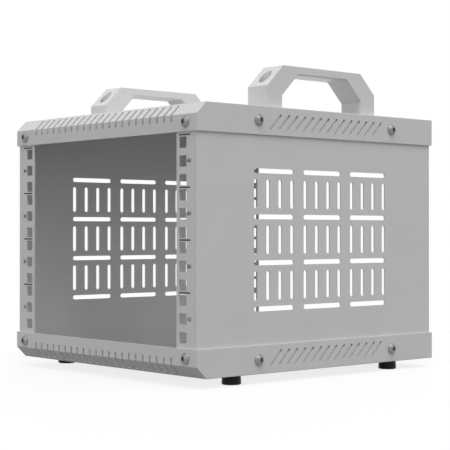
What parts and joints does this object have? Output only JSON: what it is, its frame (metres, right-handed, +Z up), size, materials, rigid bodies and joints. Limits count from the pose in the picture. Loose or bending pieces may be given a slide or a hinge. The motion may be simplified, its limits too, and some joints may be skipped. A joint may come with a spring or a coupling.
{
  "type": "desktop rack cabinet",
  "caption": "Open-fronted desktop rack cabinet for ten-inch equipment, with slotted sheet side panels, square-holed rails, bevelled covers, bridge handles and rubber feet.",
  "frame": {"origin": "on the floor under the feet, at the middle of the covers", "axes": "+X to the right seen from the front, +Y from the front to the rear, +Z up"},
  "size_m": [0.2842, 0.3062, 0.2793],
  "materials": {
    "grey_coat": "light grey fine-textured powder coat, satin",
    "grey_handle": "light grey moulded, satin",
    "plated_steel": "mid-grey zinc plate, satin",
    "black_rubber": "black moulded rubber, slightly glossy",
    "black_ink": "black screen print"
  },
  "bodies": {
    "root": {"bottom_cover": "grey_coat", "top_cover": "grey_coat", "left_side_panel": "grey_coat", "right_side_panel": "grey_coat", "left_panel_nuts": "grey_coat", "right_panel_nuts": "grey_coat", "left_handle": "grey_handle", "right_handle": "grey_handle", "top_cover_front_screws": "plated_steel", "top_cover_rear_screws": "plated_steel", "top_cover_side_screws": "plated_steel", "bottom_cover_front_screws": "plated_steel", "bottom_cover_rear_screws": "plated_steel", "bottom_cover_side_screws": "plated_steel", "left_handle_screws": "plated_steel", "right_handle_screws": "plated_steel", "left_handle_washers": "plated_steel", "right_handle_washers": "plated_steel", "left_handle_nuts": "plated_steel", "right_handle_nuts": "plated_steel", "foot_screws": "plated_steel", "foot_washers": "plated_steel", "foot_nuts": "plated_steel", "front_left_foot": "black_rubber", "front_right_foot": "black_rubber", "rear_left_foot": "black_rubber", "rear_right_foot": "black_rubber"}
  },
  "joints": []
}
